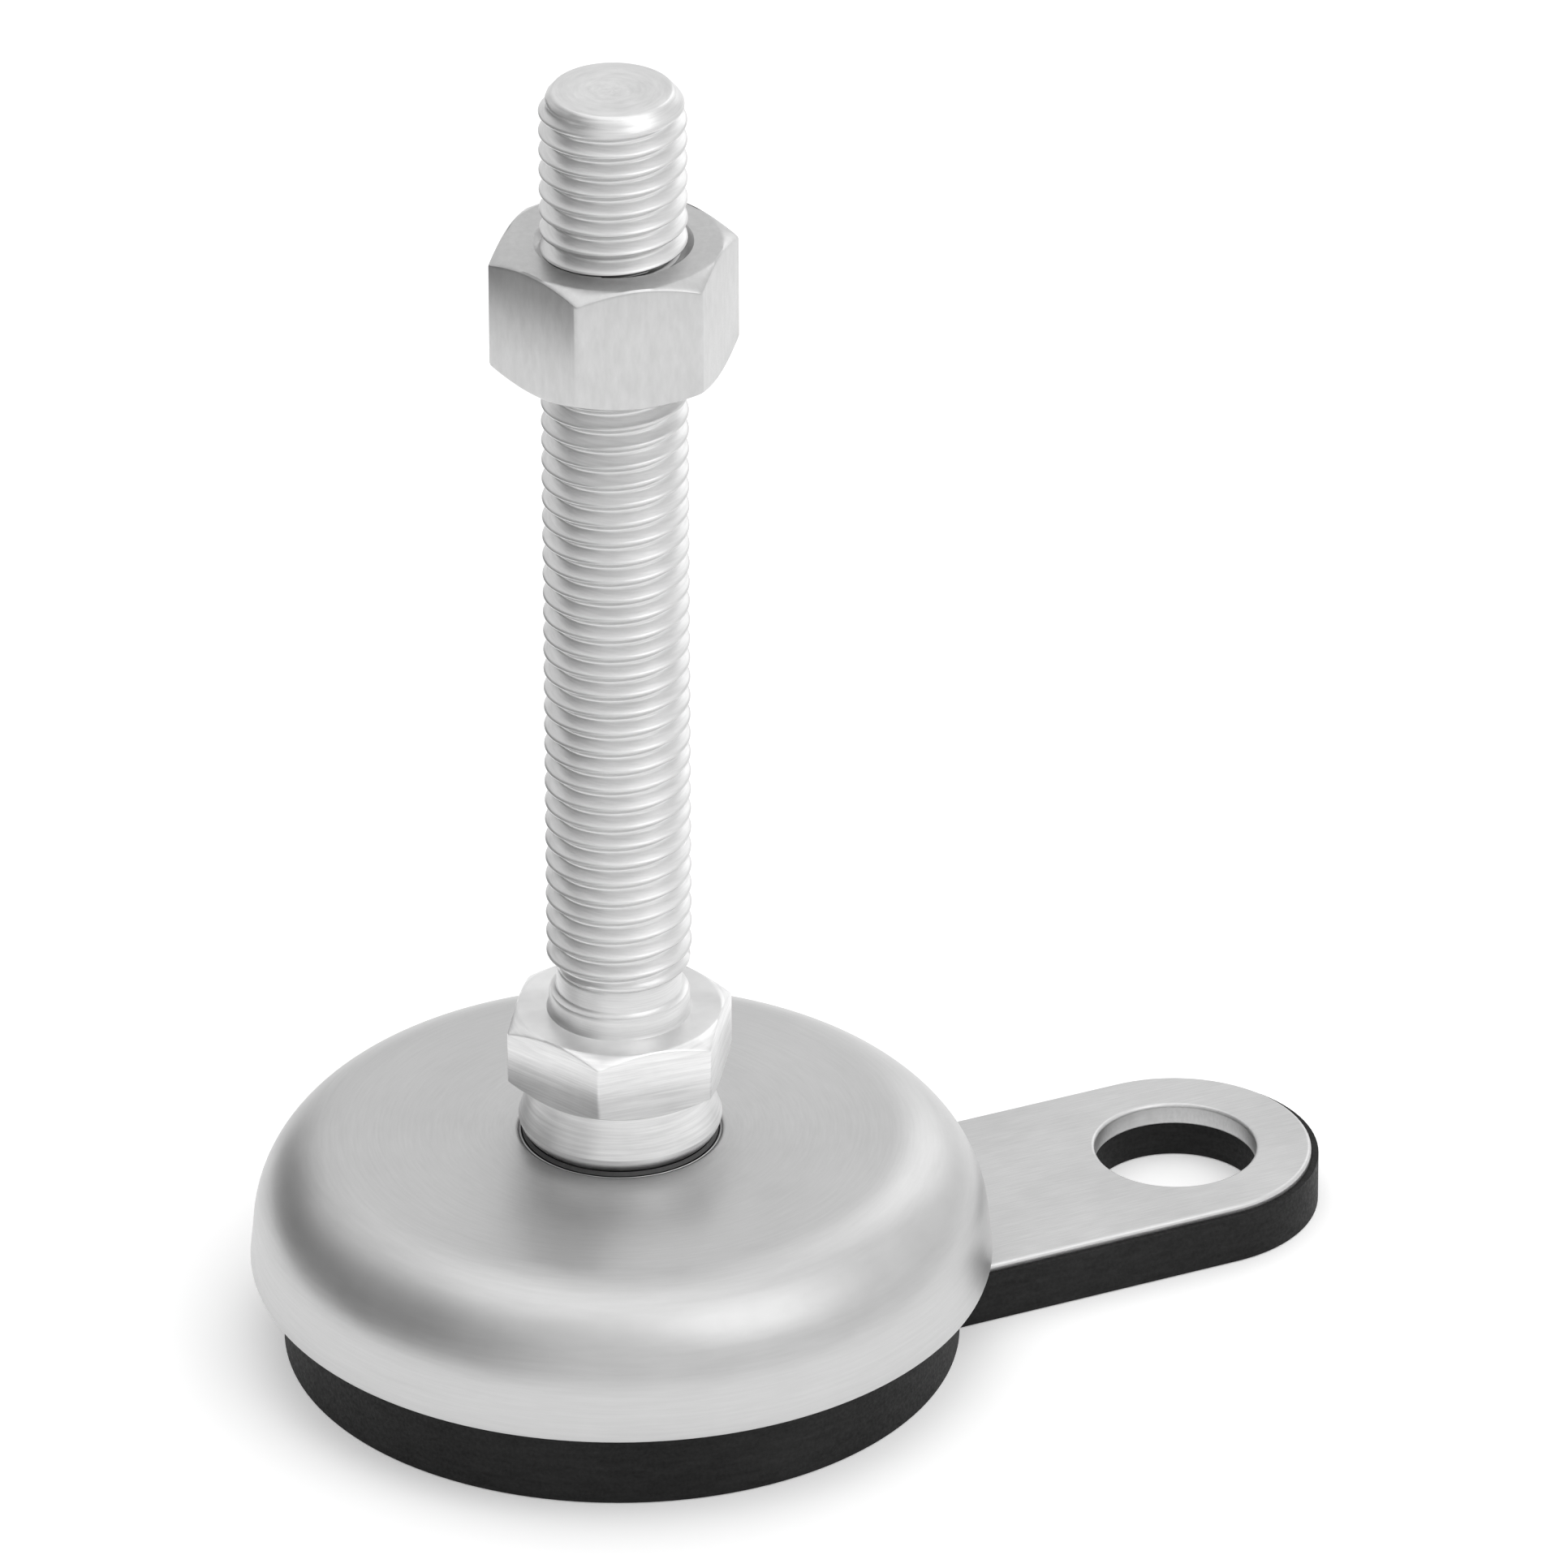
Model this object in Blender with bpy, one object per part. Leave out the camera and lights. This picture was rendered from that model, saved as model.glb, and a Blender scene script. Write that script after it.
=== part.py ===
"""Levelling foot with a bolt-down lug: M12 stem on a ball seat, pressed cap, lug plate, rubber pad.

Metres, +Z up. The origin is on the stem's axis at the floor; the lug points along +X.
"""

import math

import bmesh
import bpy

MM = 0.001
GAP = 0.3 * MM  # between pieces that rest on each other
ROUND_STEPS = 40  # sides of a turned piece
WIDE_STEPS = 56  # sides of the cap and the pad

# Thread M12 x 1.75, right-handed
PITCH = 1.75 * MM
THREAD_R = 6.0 * MM
THREAD_ROOT_R = 4.93 * MM
THREAD_CREST = PITCH / 8
FLANK_SLOPE = math.tan(math.radians(30))
STEM_THREAD_STEPS = 12  # sides per turn
NUT_THREAD_STEPS = 22
NUT_AXIAL_PLAY = 0.10 * MM
NUT_BORE_R = 5.05 * MM
NUT_GROOVE_R = 6.12 * MM

# Ball seat: every spherical face shares this centre on the axis
BALL_Z = 27.75 * MM
BALL_R = 11.3 * MM
RUNNING_GAP = 0.12 * MM
LINER_THICKNESS = 0.35 * MM
DISH_R = BALL_R + LINER_THICKNESS + 2 * RUNNING_GAP
SHEET = 1.5 * MM
DISH_UNDER_R = DISH_R + SHEET
WASHER_CUP_R = DISH_UNDER_R + RUNNING_GAP

# Stem heights
SPIGOT_R = 4.0 * MM
SPIGOT_Z = 13.2 * MM
SCREW_HOLE_R = 3.15 * MM
SCREW_HOLE_TOP_Z = 23.4 * MM
COLLAR_R = 8.4 * MM
COLLAR_TOP_R = 7.2 * MM
BALL_FACE_R = 7.5 * MM  # where the ball face rounds into the collar
COLLAR_Z = 20.7 * MM
HEX_Z = (24.6 * MM, 30.8 * MM)
HEX_FLATS = 17.0 * MM
HEX_TURN = math.radians(-4.7)
LAND_R = 5.8 * MM
LAND_TOP_Z = 32.7 * MM
NECK_R = 5.15 * MM
THREAD_Z = 34.7 * MM
STEM_TOP_Z = 115.0 * MM
STEM_TIP_R = 4.7 * MM

# Lock nut, 18 mm across flats
NUT_Z = (90.6 * MM, 101.4 * MM)
NUT_FLATS = 18.0 * MM
NUT_TURN = math.radians(-11.2)
CHAMFER_SLOPE = math.tan(math.radians(30))

# Foot
RIM_R = 30.7 * MM
RIM_Z = 7.3 * MM
SIDE_LEAN = 0.09  # inward per unit of height
SHOULDER_R = 8.75 * MM
CROWN_R = 8.44 * MM  # where the dish meets the top
CROWN_Z = 19.38 * MM
CROWN_LEAN = 0.041
UNDER_DISH_EXTRA = 0.6 * MM  # how much further out the dish meets the cone on the underside
CROWN_HOLE_R = 5.9 * MM

# Lug plate and rubber pad
PLATE_Z = (2.9 * MM, 4.9 * MM)
PLATE_R = 26.0 * MM
LUG_X = 51.0 * MM
LUG_HOLE_R = 6.75 * MM
LUG_HALF_WIDTH = 11.4 * MM
ACCESS_R = 9.5 * MM
SEAT_STEP = 0.3 * MM
SEAT_R = 31.4 * MM
PAD_R = 28.0 * MM
PAD_LUG_HALF_WIDTH = 12.0 * MM
PAD_WALL_TOP_Z = 7.0 * MM
PAD_LIP_TOP_Z = 4.3 * MM
PAD_HOLE_R = 6.9 * MM
PAD_GAP = 0.15 * MM  # between the plate and the rubber round it
GROOVES_R = (10.0 * MM, 16.0 * MM, 22.0 * MM)
GROOVE_SIZE = (1.2 * MM, 0.8 * MM)  # width, depth

# Mounting ring inside the cap
RING_BORE_R = 22.0 * MM
RING_TOP_Z = 12.0 * MM
RING_SHEET = 1.2 * MM
RING_STEP_RISE = 0.2 * MM  # from the cap's rim to the ring's step

# Swivel stack under the crown
LINER_BORE_R = 6.1 * MM
LINER_RIM_R = 8.1 * MM
WASHER_BORE_R = 4.1 * MM
WASHER_R = 7.9 * MM
WASHER_BOTTOM_Z = 12.9 * MM
SPRING_BORE_R = 3.1 * MM
SPRING_R = 6.25 * MM
SPRING_SHEET = 0.7 * MM
SPRING_CONE = 0.3 * MM  # how far its outer edge stands above its inner edge
SPRING_Z = 11.6 * MM
SCREW_R = 3.0 * MM
SCREW_CHAMFER = 0.4 * MM
SCREW_TIP_Z = 22.4 * MM
SCREW_HEAD_R = 5.25 * MM
SCREW_HEAD_Z = (8.3 * MM, 11.3 * MM)
SCREW_DOME_R = 4.4 * MM
SCREW_FACE_R = 2.6 * MM
SOCKET_FLATS = 4.0 * MM
SOCKET_DEPTH = 2.1 * MM


def material(name, colour, metallic, roughness):
    made = bpy.data.materials.new(name)
    made.use_nodes = True
    shader = made.node_tree.nodes["Principled BSDF"]
    shader.inputs["Base Color"].default_value = (*colour, 1.0)
    shader.inputs["Metallic"].default_value = metallic
    shader.inputs["Roughness"].default_value = roughness
    return made


def make_object(name, mesh, finish=None, sharp_deg=35):
    """A node when it has a finish, and a hidden cutter or helper when it has none."""
    mesh.shade_smooth()
    mesh.set_sharp_from_angle(angle=math.radians(sharp_deg))
    made = bpy.data.objects.new(name, mesh)
    bpy.context.scene.collection.objects.link(made)
    if finish is None:
        made.hide_render = True
        made.display_type = "WIRE"
    else:
        mesh.materials.append(finish)
    return made


def mesh_from(bm, name):
    bmesh.ops.recalc_face_normals(bm, faces=bm.faces[:])
    mesh = bpy.data.meshes.new(name)
    bm.to_mesh(mesh)
    bm.free()
    return mesh


def arc(centre, radius, start, end, steps):
    """Points of an arc in the (radius, height) or (x, y) plane, both ends included; angles in radians."""
    return [
        (
            centre[0] + radius * math.cos(start + (end - start) * i / steps),
            centre[1] + radius * math.sin(start + (end - start) * i / steps),
        )
        for i in range(steps + 1)
    ]


def ball_arc(radius, r_from, r_to, steps=6):
    """Profile points low on a sphere about the ball centre, between two radii from the axis."""
    start = math.acos(r_from / radius)
    end = math.acos(r_to / radius)
    return arc((0, BALL_Z), radius, -start, -end, steps)


def lathe(name, profile, steps=ROUND_STEPS):
    """Turns a closed (radius, height) outline about Z. Points on the axis become poles."""
    bm = bmesh.new()
    rings = []
    for radius, height in profile:
        if radius < 1e-7:
            rings.append([bm.verts.new((0, 0, height))] * steps)
            continue
        turns = [2 * math.pi * i / steps for i in range(steps)]
        rings.append([bm.verts.new((radius * math.cos(a), radius * math.sin(a), height)) for a in turns])
    for lower, upper in zip(rings, rings[1:] + rings[:1]):
        for i in range(steps):
            j = (i + 1) % steps
            corners = list(dict.fromkeys([lower[i], lower[j], upper[j], upper[i]]))
            if len(corners) > 2:
                bm.faces.new(corners)
    return mesh_from(bm, name)


def prism(name, outline, bottom, top):
    """Extrudes a closed (x, y) outline between two heights."""
    bm = bmesh.new()
    face = bm.faces.new([bm.verts.new((x, y, bottom)) for x, y in outline])
    raised = bmesh.ops.extrude_face_region(bm, geom=[face])["geom"]
    moved = [item for item in raised if isinstance(item, bmesh.types.BMVert)]
    bmesh.ops.translate(bm, verts=moved, vec=(0, 0, top - bottom))
    return mesh_from(bm, name)


def hexagon(flats, turn):
    corner_r = flats / math.sqrt(3)
    return [
        (corner_r * math.cos(turn + math.pi / 3 * k), corner_r * math.sin(turn + math.pi / 3 * k))
        for k in range(6)
    ]


def lug_outline(disc_r, half_width, end_x=LUG_X, disc_steps=52, end_steps=20):
    """A disc with a straight-sided lug along +X that ends in a half circle."""
    root = math.asin(half_width / disc_r)
    disc = arc((0, 0), disc_r, root, 2 * math.pi - root, disc_steps)
    end = arc((end_x, 0), half_width, -math.pi / 2, math.pi / 2, end_steps)
    return disc + end


def thread(name, ridge, steps, turns, start_z, bottom, top, tip_r=None):
    """A solid rod with a helical ridge. ridge is four (radius, height) points: root, crest, crest, root.
    It starts at start_z over +X and climbs one pitch a turn. tip_r chamfers the top at 45 degrees."""
    root_r = ridge[0][0]
    rows = turns * steps
    bm = bmesh.new()

    def point(radius, row, height):
        if tip_r is not None:
            radius = min(radius, tip_r + top - height)
        angle = 2 * math.pi * row / steps
        return bm.verts.new((radius * math.cos(angle), radius * math.sin(angle), height))

    grid = {}
    for row in range(rows + steps + 1):
        base = start_z + PITCH * row / steps
        for j in range(4 if row <= rows else 1):
            grid[row, j] = point(ridge[j][0], row, base + ridge[j][1])

    def at(row, j):
        return grid[row + steps, 0] if j == 4 else grid[row, j]

    for row in range(rows):
        for j in range(4):
            bm.faces.new([at(row, j), at(row + 1, j), at(row + 1, j + 1), at(row, j + 1)])
    low = [point(root_r, k, bottom) for k in range(steps)]
    high = [point(root_r, k, top) for k in range(steps)]
    for k in range(steps - 1):
        bm.faces.new([low[k], low[k + 1], at(k + 1, 0), at(k, 0)])
        bm.faces.new([at(rows + k + 1, 0), at(rows + k + 2, 0), high[(k + 2) % steps], high[k + 1]])
    bm.faces.new([low[-1], low[0], at(0, 0), at(0, 3), at(steps, 0), at(steps - 1, 0)])
    bm.faces.new([at(rows, 0), at(rows + 1, 0), high[1], high[0], at(rows + steps, 0), at(rows, 3)])
    bm.faces.new([at(0, j) for j in range(4)])
    bm.faces.new([at(rows, j) for j in (3, 2, 1, 0)])
    bm.faces.new(low[::-1])
    bm.faces.new(high)
    return mesh_from(bm, name)


def combine(target, other, operation):
    """Joins, cuts or trims target with a hidden helper object."""
    boolean = target.modifiers.new(f"{operation.lower()}_{other.name}", "BOOLEAN")
    boolean.operation = operation
    boolean.object = other


def hex_envelope(name, flats, bottom, top, chamfer_bottom, chamfer_top):
    """A drum whose 30 degree chamfers trim a hexagon's corners."""
    outer = flats / math.sqrt(3) + 1 * MM
    face_r = flats / 2 * 0.985
    drop = (outer - face_r) * CHAMFER_SLOPE
    profile = [(0, bottom - (0 if chamfer_bottom else 1 * MM))]
    profile += [(face_r, bottom), (outer, bottom + drop)] if chamfer_bottom else [(outer, bottom - 1 * MM)]
    profile += [(outer, top - drop), (face_r, top)] if chamfer_top else [(outer, top + 1 * MM)]
    profile += [(0, top + (0 if chamfer_top else 1 * MM))]
    return make_object(name, lathe(name, profile))


def stem_ridge():
    """The external thread's ridge over one pitch."""
    flank = (THREAD_R - THREAD_ROOT_R) * FLANK_SLOPE
    width = 2 * flank + THREAD_CREST
    return [
        (THREAD_ROOT_R, 0),
        (THREAD_R, flank),
        (THREAD_R, flank + THREAD_CREST),
        (THREAD_ROOT_R, width),
    ]


def nut_ridge():
    """The tap that cuts the nut: the stem's ridge, widened by the play."""
    width = stem_ridge()[3][1]
    low = (NUT_BORE_R - THREAD_ROOT_R) * FLANK_SLOPE - NUT_AXIAL_PLAY
    high = (NUT_GROOVE_R - THREAD_ROOT_R) * FLANK_SLOPE - NUT_AXIAL_PLAY
    return [
        (NUT_BORE_R, low),
        (NUT_GROOVE_R, high),
        (NUT_GROOVE_R, width - high),
        (NUT_BORE_R, width - low),
    ]


def make_stem(steel):
    """Threaded stem with its hexagon, collar, spherical underside and tapped spigot, in one piece."""
    profile = [(0, SCREW_HOLE_TOP_Z), (SCREW_HOLE_R, SCREW_HOLE_TOP_Z), (SCREW_HOLE_R, SPIGOT_Z)]
    profile += [(SPIGOT_R, SPIGOT_Z)]
    profile += ball_arc(BALL_R, SPIGOT_R, BALL_FACE_R)
    profile += [(COLLAR_R - 0.3 * MM, COLLAR_Z - 0.8 * MM), (COLLAR_R, COLLAR_Z)]
    profile += [(COLLAR_TOP_R, HEX_Z[0] + 0.2 * MM)]
    profile += [(LAND_R, HEX_Z[0] + 0.2 * MM), (LAND_R, LAND_TOP_Z - 0.3 * MM), (NECK_R, LAND_TOP_Z)]
    profile += [(NECK_R, THREAD_Z), (0, THREAD_Z)]
    stem = make_object("threaded_stem", lathe("threaded_stem", profile), steel)

    hexagon_mesh = prism("hexagon_blank", hexagon(HEX_FLATS, HEX_TURN), *HEX_Z)
    hexagon_part = make_object("hexagon_blank", hexagon_mesh)
    combine(hexagon_part, hex_envelope("hexagon_chamfer", HEX_FLATS, *HEX_Z, True, False), "INTERSECT")
    combine(stem, hexagon_part, "UNION")

    turns = int((STEM_TOP_Z - THREAD_Z) / PITCH) - 1
    ends = (THREAD_Z - 1 * MM, STEM_TOP_Z)
    mesh = thread("stem_thread", stem_ridge(), STEM_THREAD_STEPS, turns, THREAD_Z, *ends, STEM_TIP_R)
    combine(stem, make_object("stem_thread", mesh), "UNION")
    return stem


def make_lock_nut(steel):
    """Hexagon nut, chamfered on both faces, tapped in phase with the stem."""
    nut = make_object("lock_nut", prism("lock_nut", hexagon(NUT_FLATS, NUT_TURN), *NUT_Z), steel)
    combine(nut, hex_envelope("nut_chamfer", NUT_FLATS, *NUT_Z, True, True), "INTERSECT")
    whole_pitches = int((NUT_Z[0] - THREAD_Z) / PITCH) - 1
    start = THREAD_Z + whole_pitches * PITCH
    turns = int((NUT_Z[1] - start) / PITCH) + 2
    ends = (start - 1 * MM, start + (turns + 2) * PITCH)
    mesh = thread("nut_tap", nut_ridge(), NUT_THREAD_STEPS, turns, start, *ends)
    combine(nut, make_object("nut_tap", mesh), "DIFFERENCE")
    mouth_r = THREAD_R + 0.4 * MM
    for label, face, inward in (("bottom", NUT_Z[0], 1), ("top", NUT_Z[1], -1)):
        depth = (mouth_r - NUT_BORE_R) * 0.7
        cone = [(0, face - inward * MM), (mouth_r + MM / 0.7, face - inward * MM)]
        cone += [(NUT_BORE_R - 0.2 * MM, face + inward * depth), (0, face + inward * depth)]
        combine(nut, make_object(f"nut_mouth_{label}", lathe(f"nut_mouth_{label}", cone)), "DIFFERENCE")
    return nut


def shell_corner(rim_r, rim_z, crown_z, radius):
    """Centre and end angles of the shoulder arc between the leaning side and the shallow cone on top."""
    side = (1 / math.hypot(1, SIDE_LEAN), SIDE_LEAN / math.hypot(1, SIDE_LEAN))
    cone = (CROWN_LEAN / math.hypot(1, CROWN_LEAN), 1 / math.hypot(1, CROWN_LEAN))
    side_d = side[0] * rim_r + side[1] * rim_z - radius
    cone_d = cone[0] * CROWN_R + cone[1] * crown_z - radius
    det = side[0] * cone[1] - side[1] * cone[0]
    centre = ((side_d * cone[1] - cone_d * side[1]) / det, (side[0] * cone_d - cone[0] * side_d) / det)
    return centre, math.atan2(side[1], side[0]), math.atan2(cone[1], cone[0])


def cap_profile():
    """Outside from the rim to the crown hole, then the inside back to the rim, one sheet apart."""
    centre, low, high = shell_corner(RIM_R, RIM_Z, CROWN_Z, SHOULDER_R)
    outside = [(RIM_R, RIM_Z)] + arc(centre, SHOULDER_R, low, high, 8)
    outside += ball_arc(DISH_R, CROWN_R, CROWN_HOLE_R, 3)
    under = ball_arc(DISH_UNDER_R, CROWN_HOLE_R, CROWN_R + UNDER_DISH_EXTRA, 3)
    inside = arc(centre, SHOULDER_R - SHEET, high, low, 6)
    return outside + under + inside + [(RIM_R - SHEET, RIM_Z)]


def make_foot_cap(steel):
    return make_object("foot_cap", lathe("foot_cap", cap_profile(), WIDE_STEPS), steel)


def make_lug_plate(steel):
    """Flat plate with the lug, its bolt hole, an access hole and a shallow seat under the cap."""
    plate_mesh = prism("lug_plate", lug_outline(PLATE_R, LUG_HALF_WIDTH), *PLATE_Z)
    plate = make_object("lug_plate", plate_mesh, steel)
    seat_z = PLATE_Z[1] - SEAT_STEP
    cutters = (
        ("access", [(0, 0), (ACCESS_R, 0), (ACCESS_R, 9 * MM), (0, 9 * MM)], 0),
        ("bolt", [(0, 0), (LUG_HOLE_R, 0), (LUG_HOLE_R, 9 * MM), (0, 9 * MM)], LUG_X),
        ("seat", [(0, seat_z), (SEAT_R, seat_z), (SEAT_R, 9 * MM), (0, 9 * MM)], 0),
    )
    for label, profile, x in cutters:
        cutter = make_object(f"plate_{label}_cutter", lathe(f"plate_{label}_cutter", profile))
        cutter.location.x = x
        combine(plate, cutter, "DIFFERENCE")
    return plate


def make_rubber_pad(rubber):
    """Pad under the plate: a wall round the disc, a lip round the lug, and rings cut in the sole."""
    disc = [(0, 0), (PAD_R, 0), (PAD_R, PAD_WALL_TOP_Z), (0, PAD_WALL_TOP_Z)]
    pad = make_object("rubber_pad", lathe("rubber_pad", disc, WIDE_STEPS), rubber)
    lug_mesh = prism("pad_lug", lug_outline(PAD_R - 2 * MM, PAD_LUG_HALF_WIDTH), 0, PAD_LIP_TOP_Z)
    combine(pad, make_object("pad_lug", lug_mesh), "UNION")
    pocket = lug_outline(PLATE_R + PAD_GAP, LUG_HALF_WIDTH + PAD_GAP)
    pocket_mesh = prism("pad_pocket", pocket, PLATE_Z[0] - PAD_GAP, 9 * MM)
    combine(pad, make_object("pad_pocket", pocket_mesh), "DIFFERENCE")
    hole = [(0, -MM), (PAD_HOLE_R, -MM), (PAD_HOLE_R, 9 * MM), (0, 9 * MM)]
    hole_cutter = make_object("pad_hole_cutter", lathe("pad_hole_cutter", hole))
    hole_cutter.location.x = LUG_X
    combine(pad, hole_cutter, "DIFFERENCE")
    width, depth = GROOVE_SIZE
    for k, radius in enumerate(GROOVES_R):
        inner, outer = radius - width / 2, radius + width / 2
        ring = [(inner, -MM), (outer, -MM), (outer, depth), (inner, depth)]
        combine(pad, make_object(f"pad_groove_{k}", lathe(f"pad_groove_{k}", ring)), "DIFFERENCE")
    return pad


def make_mounting_ring(steel):
    """Pressed Z-section ring that carries the cap on the plate: flange, step and upright."""
    low = PLATE_Z[1] - SEAT_STEP + GAP
    step_z = RIM_Z + RING_STEP_RISE
    upright = RIM_R - SHEET - SIDE_LEAN * (RING_TOP_Z - RIM_Z) - GAP
    flange_r = PLATE_R - GAP
    inside_upright = upright - RING_SHEET
    inside_flange = flange_r - RING_SHEET
    profile = [(RING_BORE_R, low), (flange_r, low), (flange_r, step_z), (upright, step_z)]
    profile += [(upright, RING_TOP_Z), (inside_upright, RING_TOP_Z)]
    profile += [(inside_upright, step_z + RING_SHEET), (inside_flange, step_z + RING_SHEET)]
    profile += [(inside_flange, low + RING_SHEET), (RING_BORE_R, low + RING_SHEET)]
    return make_object("mounting_ring", lathe("mounting_ring", profile), steel)


def make_seat_liner(nylon):
    """Thin spherical ring between the stem's ball face and the cap's dish."""
    inner = BALL_R + RUNNING_GAP
    outer = inner + LINER_THICKNESS
    profile = ball_arc(outer, LINER_BORE_R, LINER_RIM_R, 4)
    profile += ball_arc(inner, LINER_RIM_R - 0.2 * MM, LINER_BORE_R, 4)
    return make_object("seat_liner", lathe("seat_liner", profile), nylon)


def make_swivel_washer(steel):
    """Cup washer under the crown: spherical above, flat below."""
    profile = ball_arc(WASHER_CUP_R, WASHER_BORE_R, WASHER_R)
    profile += [(WASHER_R, WASHER_BOTTOM_Z), (WASHER_BORE_R, WASHER_BOTTOM_Z)]
    return make_object("swivel_washer", lathe("swivel_washer", profile), steel)


def make_disc_spring(steel):
    """Conical spring washer that keeps the ball seat under load."""
    rise = SPRING_Z + SPRING_CONE
    profile = [(SPRING_BORE_R, SPRING_Z), (SPRING_R, rise)]
    profile += [(SPRING_R, rise + SPRING_SHEET), (SPRING_BORE_R, SPRING_Z + SPRING_SHEET)]
    return make_object("disc_spring", lathe("disc_spring", profile), steel)


def make_retaining_screw(steel):
    """Button-head screw that holds the stack to the stem from below, with a hexagon socket."""
    head_z, head_top = SCREW_HEAD_Z
    tip_z = SCREW_TIP_Z - SCREW_CHAMFER
    profile = [(0, SCREW_TIP_Z), (SCREW_R - SCREW_CHAMFER, SCREW_TIP_Z), (SCREW_R, tip_z)]
    profile += [(SCREW_R, head_top), (SCREW_HEAD_R, head_top), (SCREW_HEAD_R, head_top - 1.0 * MM)]
    profile += [(SCREW_DOME_R, head_z + 0.8 * MM), (SCREW_FACE_R, head_z), (0, head_z)]
    screw = make_object("retaining_screw", lathe("retaining_screw", profile, 32), steel)
    socket = prism("screw_socket", hexagon(SOCKET_FLATS, 0), head_z - MM, head_z + SOCKET_DEPTH)
    combine(screw, make_object("screw_socket", socket), "DIFFERENCE")
    return screw


def main():
    for old in list(bpy.data.objects):
        bpy.data.objects.remove(old)
    turned = material("turned_stainless", (0.62, 0.62, 0.61), 1.0, 0.28)
    pressed = material("satin_stainless", (0.55, 0.55, 0.54), 1.0, 0.38)
    inner = material("plain_steel", (0.45, 0.45, 0.45), 1.0, 0.45)
    rubber = material("black_rubber", (0.02, 0.02, 0.02), 0.0, 0.7)
    nylon = material("dark_nylon", (0.05, 0.05, 0.05), 0.0, 0.5)

    make_stem(turned)
    make_lock_nut(turned)
    make_foot_cap(pressed)
    make_lug_plate(pressed)
    make_rubber_pad(rubber)
    make_mounting_ring(inner)
    make_seat_liner(nylon)
    make_swivel_washer(inner)
    make_disc_spring(inner)
    make_retaining_screw(inner)


main()
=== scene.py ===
"""Looks of the levelling foot: fine threads, hexagons, dome, lug and pad, in metal and rubber."""

import math

import bmesh
import bpy
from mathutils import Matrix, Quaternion, Vector


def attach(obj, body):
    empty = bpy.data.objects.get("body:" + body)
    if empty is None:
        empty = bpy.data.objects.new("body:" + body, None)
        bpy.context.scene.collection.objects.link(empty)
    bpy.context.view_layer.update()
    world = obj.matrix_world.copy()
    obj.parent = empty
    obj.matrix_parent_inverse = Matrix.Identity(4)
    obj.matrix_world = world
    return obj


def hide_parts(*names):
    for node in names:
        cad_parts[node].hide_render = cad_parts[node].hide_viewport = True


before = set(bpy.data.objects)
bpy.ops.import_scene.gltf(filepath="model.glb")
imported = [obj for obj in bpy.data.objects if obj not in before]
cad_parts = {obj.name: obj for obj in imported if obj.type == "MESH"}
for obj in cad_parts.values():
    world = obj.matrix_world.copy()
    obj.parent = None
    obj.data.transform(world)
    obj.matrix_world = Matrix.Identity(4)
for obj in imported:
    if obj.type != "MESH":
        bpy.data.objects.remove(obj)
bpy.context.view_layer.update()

MM = 0.001
TAU = 2 * math.pi

# Rolled thread: rounder at its crest and root than the CAD's
PITCH = 1.75 * MM
THREAD_R = 5.98 * MM
THREAD_ROOT_R = 5.02 * MM
THREAD_PHASE = -0.148 * MM  # puts the crest where the CAD has it
NUT_THREAD_R = (5.12 * MM, 6.1 * MM)  # crest, root
NUT_BORE_R = 5.35 * MM  # where the nut's mouths end
NUT_MOUTH_R = THREAD_R + 0.35 * MM

# Sizes shared with the CAD
THREAD_Z = 34.7 * MM
BALL_Z = 27.75 * MM
BALL_R = 11.3 * MM
SPIGOT_R = 4.0 * MM
SPIGOT_Z = 13.2 * MM
SCREW_HOLE_R = 3.15 * MM
SCREW_HOLE_DEPTH = 8 * MM
RUNNING_GAP = 0.12 * MM
LINER_THICKNESS = 0.35 * MM
LINER_BORE_R = 6.1 * MM
LINER_RIM_R = 8.1 * MM
COLLAR_R = 8.4 * MM
COLLAR_TOP_R = 7.2 * MM
BALL_FACE_R = 7.5 * MM  # where the ball face rounds into the collar
HEX_Z = (24.6 * MM, 30.8 * MM)
HEX_FLATS = 17.0 * MM
HEX_TURN = math.radians(-4.7)
LAND_R = 5.8 * MM
LAND_TOP_Z = 32.7 * MM
NECK_R = 5.15 * MM
STEM_TOP_Z = 115.0 * MM
STEM_TIP_R = 4.7 * MM
NUT_Z = (90.6 * MM, 101.4 * MM)
NUT_FLATS = 18.0 * MM
NUT_TURN = math.radians(-11.2)
RIM_R = 30.7 * MM
RIM_Z = 7.3 * MM
SIDE_LEAN = 0.09
SHOULDER_R = 8.75 * MM
CROWN_R = 8.44 * MM
CROWN_Z = 19.38 * MM
CROWN_LEAN = 0.041
CROWN_HOLE_R = 5.9 * MM
UNDER_DISH_EXTRA = 0.6 * MM
SHEET = 1.5 * MM
DISH_R = 11.89 * MM
PLATE_Z = (2.9 * MM, 4.9 * MM)
PLATE_R = 26.0 * MM
LUG_X = 51.0 * MM
LUG_HOLE_R = 6.75 * MM
LUG_HALF_WIDTH = 11.4 * MM
ACCESS_R = 9.5 * MM
PAD_R = 28.0 * MM
PAD_LUG_HALF_WIDTH = 12.0 * MM
PAD_WALL_TOP_Z = 7.0 * MM
PAD_LIP_TOP_Z = 4.3 * MM
PAD_HOLE_R = 6.9 * MM
GROOVES_R = (10.0 * MM, 16.0 * MM, 22.0 * MM)
GROOVE_HALF_WIDTH = 0.6 * MM
GROOVE_DEPTH = 0.8 * MM

# Looks only
POCKET_Z = 3.35 * MM  # the rubber's floor inside its lip, above the plate's underside
PLATE_BEVEL = 0.35 * MM
PAD_BEVEL = 0.22 * MM
RIM_EDGE = 0.35 * MM
CLEAR_Z = 9 * MM  # cutters end this far up, above the plate and the pad

STEM_STEPS = 84
ROUND_STEPS = 160


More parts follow.
